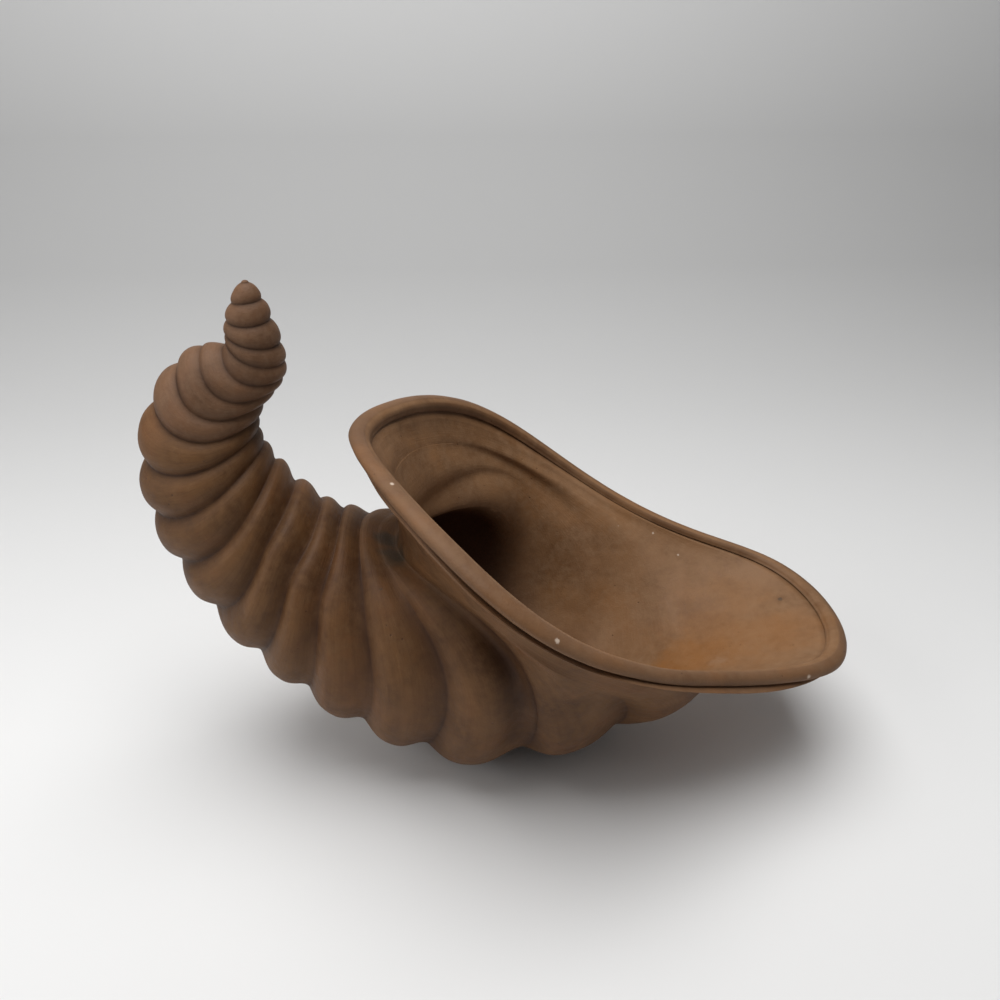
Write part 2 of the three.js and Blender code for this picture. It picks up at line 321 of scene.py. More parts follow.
    def loft(
        self, place: np.ndarray, angle: np.ndarray, grow: np.ndarray, rise: np.ndarray | float
    ) -> np.ndarray:
        """Places points on the plain loft through the creases.

        Args:
            place: Place along the horn for each point.
            angle: Angle round the horn for each point.
            grow: How far each point stands outside the loft.
            rise: How far each point is moved forward along the horn.

        Returns:
            The points in millimetres, one row each.
        """
        outer, inner = self.read_end("outer", place), self.read_end("inner", place)
        outward = outer - inner
        depth = np.linalg.norm(outward, axis=1) / 2
        outward = outward / (2 * depth[:, None])
        forward = np.stack([-outward[:, 1], outward[:, 0]], axis=1)
        cos, sin = np.cos(angle), np.sin(angle)
        pinch = self.read("egg", place) * cos * (1 - self.read("bow", place) * cos * cos)
        side = (self.read("half", place) + grow) * (1 - pinch)
        shape = 1 + self.read("lean", place) * cos - self.read("dip", place) * cos * cos
        ahead = self.read("sweep", place) * sin * sin * shape + rise
        ahead = ahead + self.read("twist", place) * smooth(*self.twist_top, -cos)
        flat = (outer + inner) / 2
        flat = flat + outward * ((depth + grow) * cos)[:, None] + forward * ahead[:, None]
        return np.stack([flat[:, 0] + self.shift_x, side * sin, flat[:, 1]], axis=1)

    def ring(
        self,
        coil: int,
        place: np.ndarray,
        angle: np.ndarray,
        inset: np.ndarray | float = 0.0,
        wave: float = 1.0,
        rise: np.ndarray | float = 0.0,
    ) -> np.ndarray:
        """Places one ring of points round the horn.

        Args:
            coil: Index of the coil that the ring belongs to.
            place: Place along the horn for each point.
            angle: Angle round the horn for each point.
            inset: How far the ring lies inside the outer skin.
            wave: Share of the coil's bulge that the ring follows.
            rise: How far the ring is moved forward along the horn.

        Returns:
            The points in millimetres, one row each.
        """
        grow = wave * self.bulge_height(coil, place, angle) - inset
        points = self.loft(place, angle, grow, rise)
        cos = np.cos(angle)
        ease = smooth(*self.fold_starts, place) * (1 - smooth(*self.fold_ends, place))
        ease = ease * smooth(*self.fold_from, cos) * (1 - smooth(*self.fold_until, cos))
        if ease.max() > 0:
            steps = np.linspace(-self.fold_reach, self.fold_reach, self.fold_samples)
            weights = np.exp(-((steps / self.fold_spread) ** 2) / 2)
            eased = np.zeros_like(points)
            for step, weight in zip(steps, weights):
                near = np.minimum(place + step, float(self.rim_station))
                eased += weight * self.loft(near, angle, grow, rise)
            points = points + ease[:, None] * (eased / weights.sum() - points)
        return self.pressed(self.uneven(points, place))

    def uneven(self, points: np.ndarray, place: np.ndarray) -> np.ndarray:
        """Returns the points with the slight lumps of a cast and hand-sponged piece."""
        away = points - points.mean(axis=0)
        away = away / np.maximum(np.linalg.norm(away, axis=1), 1e-6)[:, None]
        moved = np.empty_like(points)
        for i, point in enumerate(points):
            spot = Vector(point)
            lump = self.lump_height * noise.noise(spot / self.lump_size)
            ripple = self.ripple_height * noise.noise(spot / self.ripple_size)
            calm = min(1.0, float(place[i]) / self.calm_places)
            moved[i] = point + away[i] * (lump + ripple) * calm
        return moved

    def pressed(self, points: np.ndarray) -> np.ndarray:
        """Returns the points with the underside pressed flat on the floor."""
        low = points[:, 2]
        points[:, 2] = (low + np.sqrt(low * low + self.foot_softness)) / 2
        return points


@dataclass
class Ring:
    """One loop of a piece: its points and what the finish reads from them."""

    points: np.ndarray
    angle: np.ndarray
    place: np.ndarray
    # how dark the colour is painted there: wash and painted shade in the creases, painted shade under the
    # bead
    valley: np.ndarray
    inner: float = 0.0


@dataclass
class RingLoft:
    """Models a clay piece as a circle that is extruded ring by ring."""

    name: str
    rings: list[Ring]
    closed: bool

    def build(self) -> bpy.types.Object:
        """Draws the piece with edit-mode operators.

        Returns:
            The finished piece, its place in its mesh.
        """
        bpy.ops.object.select_all(action="DESELECT")
        steps = len(self.rings[0].points)
        bpy.ops.mesh.primitive_circle_add(vertices=steps, radius=10 * MM, fill_type="NOTHING")
        piece = bpy.context.active_object
        piece.name = piece.data.name = self.name
        bpy.ops.object.mode_set(mode="EDIT")
        bpy.ops.mesh.select_mode(type="EDGE")
        bpy.ops.mesh.select_all(action="SELECT")
        mesh = bmesh.from_edit_mesh(piece.data)
        mesh.verts.layers.float.new("valley")
        mesh.verts.layers.float.new("inner")
        mesh.verts.layers.float_vector.new("rib")
        mesh.verts.ensure_lookup_table()
        loop = list(range(steps))
        self._settle(piece, loop, self.rings[0])
        first = loop
        for ring in self.rings[1:]:
            loop = self._extruded(piece, loop)
            self._settle(piece, loop, ring)
        if self.closed:
            loop = self._extruded(piece, loop)
            self._settle(piece, loop, self.rings[0])
        else:
            self._close(piece, loop)
            self._close(piece, first)
        bpy.ops.mesh.select_all(action="SELECT")
        bpy.ops.mesh.remove_doubles(threshold=1e-6)
        bpy.ops.mesh.normals_make_consistent(inside=False)
        bpy.ops.object.mode_set(mode="OBJECT")
        bpy.ops.object.shade_smooth_by_angle(angle=math.radians(50))
        return piece

    def _extruded(self, piece: bpy.types.Object, loop: list[int]) -> list[int]:
        """Extrudes the selected loop where it lies and returns the new one in the same order."""
        bpy.ops.mesh.extrude_edges_move()
        mesh = bmesh.from_edit_mesh(piece.data)
        mesh.verts.ensure_lookup_table()
        mesh.verts.index_update()
        fresh = []
        for index in loop:
            corner = mesh.verts[index]
            ends = (edge.other_vert(corner) for edge in corner.link_edges)
            fresh.append(next(end.index for end in ends if end.select))
        return fresh

    def _settle(self, piece: bpy.types.Object, loop: list[int], ring: Ring) -> None:
        """Moves a loop to its ring and notes where each point lies on the horn.

        Args:
            piece: The piece in edit mode.
            loop: The loop's vertices in order.
            ring: The ring that the loop becomes.
        """
        mesh = bmesh.from_edit_mesh(piece.data)
        mesh.verts.ensure_lookup_table()
        valley = mesh.verts.layers.float["valley"]
        inner = mesh.verts.layers.float["inner"]
        rib = mesh.verts.layers.float_vector["rib"]
        for i, index in enumerate(loop):
            corner = mesh.verts[index]
            corner.co = Vector(ring.points[i]) * MM
            corner[valley] = float(ring.valley[i])
            corner[inner] = ring.inner
            angle = float(ring.angle[i])
            corner[rib] = Vector((math.cos(angle), math.sin(angle), float(ring.place[i])))
        bmesh.update_edit_mesh(piece.data)

    def _close(self, piece: bpy.types.Object, loop: list[int]) -> None:
        """Closes the open end at a loop with a fan."""
        bpy.ops.mesh.select_all(action="DESELECT")
        mesh = bmesh.from_edit_mesh(piece.data)
        mesh.verts.ensure_lookup_table()
        members = set(loop)
        for edge in mesh.edges:
            if edge.verts[0].index in members and edge.verts[1].index in members:
                edge.select = True
        bmesh.update_edit_mesh(piece.data)
        bpy.ops.mesh.extrude_edges_move()
        bpy.ops.mesh.merge(type="CENTER")


@dataclass
class CoilGroup:
    """A run of neighbouring coils that share a finish and a fineness."""

    title: str
    first: int
    last: int
    finish: Finish
    form: HornForm
    steps: int = 160
    outside_rows: int = 26
    inside_rows: int = 8
    tip_height: float = 0.9
    tip_turns: tuple[float, ...] = (0.12, 0.35, 0.6, 0.82)
    row_easing: float = 0.11
    pieces: list[bpy.types.Object] = field(default_factory=list)

    def build(self) -> None:
        """Builds each coil of the run in place of its CAD node."""
        for coil in range(self.first, self.last + 1):
            node = f"{self.title}_{coil + 1:02d}"
            hollow = coil >= self.form.cavity_start
            piece = RingLoft(f"{node}_fired", self._rings(coil), hollow).build()
            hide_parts(node)
            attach(piece, BODY)
            self.pieces.append(piece)
            log.info("coil %s: %d faces", piece.name, len(piece.data.polygons))

    def _ring(self, coil: int, share: float, inside: bool) -> Ring:
        """Makes the ring of a coil at a share of the way to its second crease."""
        angle = np.arange(self.steps) * (2 * math.pi / self.steps)
        place = np.full(self.steps, coil + share)
        inset = self.form.wall(place, angle) if inside else 0.0
        wave = self.form.inner_wave if inside else 1.0
        points = self.form.ring(coil, place, angle, inset=inset, wave=wave)
        valley = np.zeros(self.steps) if inside else self.form.crease_wash_and_shade(coil, place, angle)
        return Ring(points, angle, place, valley, float(inside))

    def _rings(self, coil: int) -> list[Ring]:
        """Makes the rings of a coil in the order in which they are extruded."""
        shares = [self._eased(i / self.outside_rows) for i in range(self.outside_rows + 1)]
        rings = [self._ring(coil, share, False) for share in shares]
        if coil == 0:
            rings = self._tip() + rings
        if coil + 1 < self.form.cavity_start:
            return rings
        start = max(0.0, self.form.cavity_start - coil)
        count = self.inside_rows
        inner = [start + (1 - start) * i / count for i in range(count + 1)]
        return rings + [self._ring(coil, share, True) for share in reversed(inner)]

    def _eased(self, share: float) -> float:
        """Returns the share moved towards the creases, where the rows lie closer together."""
        return share - self.row_easing * math.sin(2 * math.pi * share)

    def _tip(self) -> list[Ring]:
        """Makes the rings that round the tip off, from its middle outwards."""
        rings = []
        base = self._ring(0, 0.0, False)
        middle = base.points.mean(axis=0)
        for turn in self.tip_turns:
            points = middle + (base.points - middle) * math.sin(turn * math.pi / 2)
            points[:, 2] += self.tip_height * math.cos(turn * math.pi / 2)
            rings.append(Ring(points, base.angle, base.place, base.valley * 0))
        return rings

    def dress(self, material: bpy.types.Material) -> None:
        """Puts the finish on each coil of the run."""
        for piece in self.pieces:
            piece.data.materials.clear()
            piece.data.materials.append(material)


@dataclass(frozen=True)
class BeadPoint:
    """One point of the bead's section.

    It lies back from the rim and inside the skin. On the flanks of the mouth it is moved by flank, and on the
    front half of them by front as well.
    """

    back: float
    inset: float
    flank: float = 0.0
    front: float = 0.0
    rise: float = 0.0


@dataclass
class Mouth:
    """The flare and the rolled bead that closes the rim, in millimetres.

    The bead's section is the collar behind the rim, a half round over it and the lip inside it. The insets
    tell the section's sides apart, and the painted shades tell how dark shade is painted: in the recess under
    the bead, under its lip, in the groove under the collar and on the inner roll of the far rim.
    """

    form: HornForm
    steps: int = 320
    outside_rows: int = 34
    inside_rows: int = 56
    bead_rows: int = 18
    bead_height: float = 3.6
    bead_overhang: float = 3.0
    bead_front: float = 1.3
    joint: float = 0.15
    near_rim: float = 0.25
    outside_easing: float = 1.35
    inside_easing: float = 1.9
    recess_span: Span = (2.0, 5.5)
    # painted shade in the recess under the bead and under its lip
    recess_painted_shade: float = 0.55
    lip_painted_shade: float = 0.5
    collar_inset: float = -0.6
    inner_inset: float = 3.0
    roll_inset: float = 4.5
    roll_rise: float = 2.5
    lip_inset: float = 6.0
    groove_back: float = 4.3
    groove_width: float = 0.5
    # painted shade in the groove under the collar, and on the inner roll of the rim on its far side
    groove_painted_shade: float = 0.8
    far_roll_painted_shade: float = 0.6
    far_roll_shade_span: Span = (0.1, 0.7)
    flank_starts: Span = (-0.85, -0.45)
    front_starts: Span = (-0.35, 0.05)
    flank_ends: Span = (0.55, 1.0)
    collar: tuple[BeadPoint, ...] = (
        BeadPoint(0.0, -0.5, rise=0.15),
        BeadPoint(2.3, -0.5),
        BeadPoint(4.6, -0.5),
        BeadPoint(7.2, -0.5),
        BeadPoint(8.1, -0.6, flank=-0.4),
        BeadPoint(8.3, -1.3, flank=-1.3, front=-0.3),
        BeadPoint(7.9, -2.0, flank=-2.0, front=-0.6),
        BeadPoint(7.2, -2.4, flank=-2.3, front=-0.7),
        BeadPoint(6.3, -2.45, flank=-2.3, front=-0.7),
        BeadPoint(5.5, -2.2, flank=-1.9, front=-0.5),
        BeadPoint(5.0, -1.8, flank=-1.0),
        BeadPoint(4.6, -1.4, flank=-0.2, front=0.3),
        BeadPoint(4.2, -1.25, front=0.6),
        BeadPoint(3.8, -1.5, front=0.9),
        BeadPoint(3.4, -1.95, front=1.1),
        BeadPoint(2.9, -2.4, front=1.2),
        BeadPoint(2.1, -2.8, front=1.3),
        BeadPoint(1.1, -3.0, front=1.3),
    )
    lip: tuple[BeadPoint, ...] = (
        BeadPoint(0.9, 7.1),
        BeadPoint(1.6, 6.9),
        BeadPoint(1.9, 6.4),
        BeadPoint(1.6, 5.95),
        BeadPoint(0.8, 5.75),
    )
    pieces: list[bpy.types.Object] = field(default_factory=list)

    def build(self) -> None:
        """Builds the flare and the bead in place of their CAD nodes."""
        for node, rings in (("mouth_flare", self._flare_rings()), ("rim_bead", self._bead_rings())):
            piece = RingLoft(f"{node}_fired", rings, True).build()
            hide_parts(node)
            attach(piece, BODY)
            self.pieces.append(piece)
            log.info("mouth %s: %d faces", piece.name, len(piece.data.polygons))

    def _angles(self) -> np.ndarray:
        """Returns evenly spaced angles round the mouth."""
        return np.arange(self.steps) * (2 * math.pi / self.steps)

    def _reach(self) -> np.ndarray:
        """Returns how far it is from the last crease to the rim at each angle, in millimetres."""
        angle = self._angles()
        place = np.full(self.steps, float(self.form.rim_station))
        flare = self.form.flare_station
        ends = [self.form.ring(flare, place - back, angle) for back in (0.0, self.near_rim)]
        return np.linalg.norm(ends[0] - ends[1], axis=1) / self.near_rim

    def _flare_rings(self) -> list[Ring]:
        """Makes the rings of the flare, outside from the last crease to the rim and back inside."""
        rings = []
        for i in range(self.outside_rows + 1):
            rings.append(self._flare_ring(1 - (1 - i / self.outside_rows) ** self.outside_easing, False))
        for i in range(self.inside_rows + 1):
            rings.append(self._flare_ring(1 - (i / self.inside_rows) ** self.inside_easing, True))
        return rings

    def _flare_ring(self, share: float, inside: bool) -> Ring:
        """Makes one ring of the flare.

        Args:
            share: How far the ring lies from the last crease to the rim.
            inside: True on the inner skin, which is cut back a little under the bead.

        Returns:
            The ring.
        """
        station = self.form.flare_station
        angle = self._angles()
        place = np.full(self.steps, station + share)
        inset, wave, groove = 0.0, 1.0, self.form.crease_wash_and_shade(station, place, angle)
        if inside:
            back = (1 - share) * self._reach()
            cut = 1 - smooth(*self.recess_span, back)
            inset = self.form.wall(place, angle) - self.form.recess_depth * cut
            wave = self.form.inner_wave
            # painted shade in the recess under the bead
            groove = self.recess_painted_shade * cut
        points = self.form.ring(station, place, angle, inset=inset, wave=wave)
        return Ring(points, angle, place, groove, float(inside))

    def _bead_rings(self) -> list[Ring]:
        """Makes the bead's rings: inside the collar, up its grooved outside, over the rim, under its lip."""
        rings = [self._bead_ring(point) for point in self.collar]
        for i in range(self.bead_rows + 1):
            turn = math.pi * i / self.bead_rows
            half_width = (self.form.wall_at_rim + self.bead_overhang) / 2
            across = half_width * (1 - math.cos(turn))
            front = self.bead_front * (1 + math.cos(turn)) / 2
            rise = self.joint + self.bead_height * math.sin(turn)
            rings.append(self._bead_ring(BeadPoint(0.0, across - self.bead_overhang, front=front, rise=rise)))
        rings += [self._bead_ring(point) for point in self.lip]
        return rings

    def _bead_ring(self, point: BeadPoint) -> Ring:
        """Carries one point of the bead's section round the rim.

        Args:
            point: The point of the section.

        Returns:
            The ring.
        """
        angle = self._angles()
        cos = np.cos(angle)
        before_lip = 1 - smooth(*self.flank_ends, cos)
        on_flank = smooth(*self.flank_starts, cos) * before_lip
        on_front = smooth(*self.front_starts, cos) * before_lip
        inset = point.inset + point.flank * on_flank + point.front * on_front
        place = self.form.rim_station - point.back / self._reach()
        points = self.form.ring(self.form.flare_station, place, angle, inset=inset, rise=point.rise)
        # painted shade: in the groove under the collar, under the lip inside and on the inner roll of the far
        # rim
        wash = np.zeros(self.steps)
        if point.inset < self.collar_inset:
            wash += self.groove_painted_shade * math.exp(-(((point.back - self.groove_back) / self.groove_width) ** 2))
        if point.inset > self.lip_inset and point.back > 0:
            wash += self.lip_painted_shade
        if point.inset > self.roll_inset and point.rise < self.roll_rise:
            wash = np.maximum(wash, self.far_roll_painted_shade * smooth(*self.far_roll_shade_span, np.sin(angle)))
        return Ring(points, angle, place, wash, float(point.inset > self.inner_inset))

    def dress(self, material: bpy.types.Material) -> None:
        """Puts the finish on the flare and the bead."""
        for piece in self.pieces:
            piece.data.materials.clear()
            piece.data.materials.append(material)


class Sheet:
    """A node tree that is written from top to bottom."""

    def __init__(self, tree: bpy.types.NodeTree) -> None:
        """Keeps the tree that the nodes go into."""
        self.tree = tree

    def add(self, kind: str, **settings: object) -> Node:
        """Adds a node, sets its properties and returns it."""
        node = self.tree.nodes.new(kind)
        for key, value in settings.items():
            setattr(node, key, value)
        return node

    def join(self, source: Socket, target: Socket) -> None:
        """Links an output to an input."""
        self.tree.links.new(source, target)

    def feed(self, value: object, target: Socket) -> None:
        """Links an output to an input, or sets the input to a plain value."""
        if isinstance(value, Socket):
            self.join(value, target)
        else:
            target.default_value = value

    def math(self, operation: str, first: object, second: object) -> Socket:
        """Returns the result of a math node on two values, each a socket or a number."""
        node = self.add("ShaderNodeMath", operation=operation)
        self.feed(first, node.inputs[0])
        self.feed(second, node.inputs[1])
        return node.outputs[0]

    def plus(self, first: object, second: object) -> Socket:
        """Returns the sum of two values."""
        return self.math("ADD", first, second)

    def minus(self, first: object, second: object) -> Socket:
        """Returns the first value less the second."""
        return self.math("SUBTRACT", first, second)

    def times(self, first: object, second: object) -> Socket:
        """Returns the product of two values."""
        return self.math("MULTIPLY", first, second)

    def ramp(self, value: object, low: float, high: float) -> Socket:
        """Returns a value eased from 0 at the low edge to 1 at the high one."""
        node = self.add("ShaderNodeMapRange", interpolation_type="SMOOTHSTEP")
        self.feed(value, node.inputs["Value"])
        node.inputs["From Min"].default_value = low
        node.inputs["From Max"].default_value = high
        return node.outputs["Result"]

    def noise(self, vector: object, scale: object, detail: float, rough: float = 0.5) -> Socket:
        """Returns a noise, with how many finer layers it has and how strong they are."""
        node = self.add("ShaderNodeTexNoise")
        self.feed(vector, node.inputs["Vector"])
        self.feed(scale, node.inputs["Scale"])
        node.inputs["Detail"].default_value = detail
        node.inputs["Roughness"].default_value = rough
        return node.outputs[0]

    def mix(self, share: object, first: object, second: object) -> Socket:
        """Returns the first colour with a share of the second."""
        node = self.add("ShaderNodeMix", data_type="RGBA")
        self.feed(share, node.inputs["Factor"])
        self.feed(first, node.inputs["A"])
        self.feed(second, node.inputs["B"])
        return node.outputs["Result"]


def shade(red: float, green: float, blue: float) -> tuple[float, float, float, float]:
    """Returns a colour with full alpha."""
    return (red, green, blue, 1.0)


@dataclass(frozen=True)
class Effect:
    """A surface effect that several finishes share, kept as a shader node group."""

    name: str
    inputs: tuple[tuple[str, str], ...]
    outputs: tuple[tuple[str, str], ...]

    def start(self) -> tuple[Sheet, Node, Node]:
        """Makes the empty group and returns its tree, its input node and its output node."""
        tree = bpy.data.node_groups.new(self.name, "ShaderNodeTree")
        for title, kind in self.inputs:
            tree.interface.new_socket(title, in_out="INPUT", socket_type=f"NodeSocket{kind}")
        for title, kind in self.outputs:
            tree.interface.new_socket(title, in_out="OUTPUT", socket_type=f"NodeSocket{kind}")
        sheet = Sheet(tree)
        return sheet, sheet.add("NodeGroupInput"), sheet.add("NodeGroupOutput")


class Effects:
    """Builds the shared effects once and puts them into finishes."""

    def __init__(self) -> None:
        """Builds the groups."""
        self.groups = {
            "mottle": self._mottle(),
            "grain": self._grain(),
            "streaks": self._streaks(),
            "groove": self._groove(),
            "spot": self._spot(),
        }

    def use(self, sheet: Sheet, title: str, **values: object) -> Node:
        """Adds one of the groups to a finish, feeds its inputs and returns it."""
        node = sheet.add("ShaderNodeGroup", node_tree=self.groups[title])
        for key, value in values.items():
            sheet.feed(value, node.inputs[key])
        return node

    def _mottle(self) -> bpy.types.NodeTree:
        """Builds the clouds of darker and warmer clay."""
        effect = Effect(
            "clay_mottle",
            (("Vector", "Vector"), ("Scale", "Float")),
            (("Stain", "Float"), ("Warmth", "Float"), ("Dust", "Float")),
        )
        sheet, start, end = effect.start()
        spot, scale = start.outputs["Vector"], start.outputs["Scale"]
        coarse = sheet.noise(spot, scale, 4.0, 0.6)
        middle = sheet.noise(spot, sheet.times(scale, 3.3), 5.0, 0.62)
        fine = sheet.noise(spot, sheet.times(scale, 11.0), 3.0, 0.6)
        stain = sheet.plus(sheet.times(coarse, 0.55), sheet.times(middle, 0.45))
        sheet.join(sheet.ramp(stain, 0.40, 0.64), end.inputs["Stain"])
        moved = sheet.add("ShaderNodeVectorMath", operation="ADD")
        sheet.join(spot, moved.inputs[0])
        moved.inputs[1].default_value = (0.37, 0.11, 0.23)
        warm = sheet.noise(moved.outputs[0], sheet.times(scale, 1.7), 4.0, 0.55)
        sheet.join(sheet.ramp(warm, 0.44, 0.68), end.inputs["Warmth"])
        dust = sheet.plus(sheet.times(middle, 0.5), sheet.times(fine, 0.5))
        sheet.join(sheet.ramp(dust, 0.42, 0.66), end.inputs["Dust"])
        return sheet.tree

    def _grain(self) -> bpy.types.NodeTree:
        """Builds the fine sandy grain and the pinholes."""
        outputs = (("Height", "Float"), ("Pits", "Float"), ("Flecks", "Float"))
        effect = Effect("clay_grain", (("Vector", "Vector"),), outputs)
        sheet, start, end = effect.start()
        spot = start.outputs["Vector"]
        sand = sheet.noise(spot, 1100.0, 3.0, 0.6)
        sponge = sheet.noise(spot, 260.0, 4.0, 0.6)
        cells = sheet.add("ShaderNodeTexVoronoi", feature="F1")
        sheet.join(spot, cells.inputs["Vector"])
        cells.inputs["Scale"].default_value = 210.0
        pits = sheet.minus(1.0, sheet.ramp(cells.outputs["Distance"], 0.05, 0.13))
        chosen = sheet.ramp(sheet.noise(spot, 95.0, 2.0), 0.56, 0.62)
        pits = sheet.times(pits, chosen)
        height = sheet.plus(sheet.times(sand, 0.35), sheet.times(sponge, 0.65))
        height = sheet.minus(height, sheet.times(pits, 0.6))
        sheet.join(height, end.inputs["Height"])
        sheet.join(pits, end.inputs["Pits"])
        sheet.join(sheet.ramp(sand, 0.62, 0.74), end.inputs["Flecks"])
        return sheet.tree

    def _streaks(self) -> bpy.types.NodeTree:
        """Builds the brush streaks that run round the horn along its ribs."""
        effect = Effect("brush_streaks", (("Rib", "Vector"),), (("Streak", "Float"), ("Height", "Float")))
        sheet, start, end = effect.start()
        long = sheet.add("ShaderNodeVectorMath", operation="MULTIPLY")
        sheet.join(start.outputs["Rib"], long.inputs[0])
        long.inputs[1].default_value = (1.1, 1.1, 7.0)
        broad = sheet.noise(long.outputs[0], 1.0, 3.0, 0.6)
        fine = sheet.noise(long.outputs[0], 3.2, 3.0, 0.6)
        both = sheet.plus(sheet.times(broad, 0.6), sheet.times(fine, 0.4))
        sheet.join(sheet.ramp(both, 0.40, 0.64), end.inputs["Streak"])
        sheet.join(fine, end.inputs["Height"])
        return sheet.tree

    def _groove(self) -> bpy.types.NodeTree:
        """Builds the dark in the creases, partly wash kept there and partly painted shade, broken by a noise
        where the wash was wiped.
        """
        effect = Effect("groove_shade", (("Valley", "Float"), ("Vector", "Vector")), (("Shade", "Float"),))
        sheet, start, end = effect.start()
        wiped = sheet.ramp(sheet.noise(start.outputs["Vector"], 38.0, 3.0, 0.6), 0.36, 0.62)
        kept = sheet.plus(sheet.times(wiped, 0.5), 0.5)
        sheet.join(sheet.times(start.outputs["Valley"], kept), end.inputs["Shade"])
        return sheet.tree

    def _spot(self) -> bpy.types.NodeTree:
        """Builds one ragged spot at a given place."""
        effect = Effect(
            "soft_spot",
            (("Vector", "Vector"), ("Centre", "Vector"), ("Radius", "Float"), ("Ragged", "Float")),
            (("Mask", "Float"),),
        )
        sheet, start, end = effect.start()
        spot = start.outputs["Vector"]
        gap = sheet.add("ShaderNodeVectorMath", operation="DISTANCE")
        sheet.join(spot, gap.inputs[0])
        sheet.join(start.outputs["Centre"], gap.inputs[1])
        share = sheet.math("DIVIDE", gap.outputs["Value"], start.outputs["Radius"])
        fine = sheet.math("DIVIDE", 1.6, start.outputs["Radius"])
        torn = sheet.minus(sheet.noise(spot, fine, 3.0, 0.6), 0.5)
        torn = sheet.times(torn, start.outputs["Ragged"])
        faded = sheet.ramp(sheet.plus(share, torn), 0.35, 1.0)
        sheet.join(sheet.minus(1.0, faded), end.inputs["Mask"])
        return sheet.tree


@dataclass(frozen=True)
class Spot:
    """A coloured spot on the clay, in millimetres: a stain, a rusty patch, a chip, a speck or a darker patch.
    """

    place: tuple[float, float, float]
    radius: float
    colour: Tint
    strength: float
    ragged: float = 0.8


@dataclass(frozen=True)
class Palette:
    """The colours of one side of the clay and how strongly each shows."""

    base: Tint
    dark: Tint
    warm: Tint
    dust: Tint
    stain_share: float = 0.4
    warm_share: float = 0.45
    dust_share: float = 0.3


INSIDE = Palette(
    base=(0.235, 0.122, 0.055),
    dark=(0.1, 0.041, 0.013),
    warm=(0.24, 0.11, 0.038),
    dust=(0.285, 0.168, 0.09),
    stain_share=0.6,
    dust_share=0.45,
)

CHIP = (0.6, 0.48, 0.38)
RUST = (0.27, 0.105, 0.022)
BROWN = (0.13, 0.055, 0.018)
NEAR_BLACK = (0.045, 0.038, 0.026)

INSIDE_SPOTS: tuple[Spot, ...] = (
    Spot((112.0, -2.0, 55.0), 42.0, RUST, 0.3, ragged=1.2),
    Spot((144.0, -12.0, 65.0), 22.0, RUST, 0.2, ragged=1.2),
    Spot((92.0, -10.0, 46.0), 24.0, RUST, 0.42, ragged=1.6),
    Spot((62.0, -16.0, 34.0), 26.0, RUST, 0.5, ragged=1.6),
    Spot((70.0, 22.0, 40.0), 20.0, BROWN, 0.2, ragged=1.6),
    Spot((44.0, 34.0, 42.0), 26.0, BROWN, 0.12, ragged=1.6),
    # a broad darker brown patch low in the bowl and under the belly
    Spot((24.0, 4.0, 24.0), 44.0, BROWN, 0.7, ragged=1.4),
    Spot((104.0, -22.0, 52.0), 7.0, CHIP, 0.07, ragged=1.4),
    Spot((64.8, 65.0, 84.0), 0.8, CHIP, 0.6),
    Spot((84.9, 62.4, 80.2), 0.9, CHIP, 0.7),
    Spot((98.0, 52.6, 71.1), 0.8, CHIP, 0.7),
    Spot((145.2, 15.1, 65.4), 1.8, NEAR_BLACK, 0.6),
)


